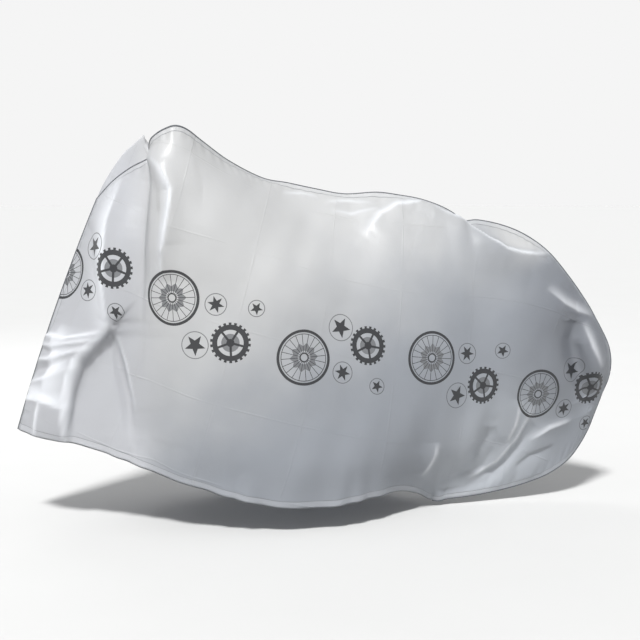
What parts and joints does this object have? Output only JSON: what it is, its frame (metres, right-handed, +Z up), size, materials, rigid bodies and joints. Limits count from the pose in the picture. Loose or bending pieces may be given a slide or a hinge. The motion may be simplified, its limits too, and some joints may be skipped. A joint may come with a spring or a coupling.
{
  "type": "bicycle cover",
  "caption": "Fitted bicycle cover of frosted plastic film: two D-shaped side panels bound along the top and back, open underneath, draped as it hangs.",
  "frame": {"origin": "point just under the top seam, a little behind the middle, where the cover is carried", "axes": "-X towards the front of the cover, +X towards its rounded back, -Y towards its left side, +Z up"},
  "size_m": [1.9703, 0.6771, 1.2099],
  "materials": {
    "film": "frosted translucent film with a soft gloss and a grey printed band",
    "welt": "dark grey bound seam"
  },
  "bodies": {
    "root": {"panel_left": "film", "panel_right": "film", "seam_welt": "welt"}
  },
  "joints": []
}
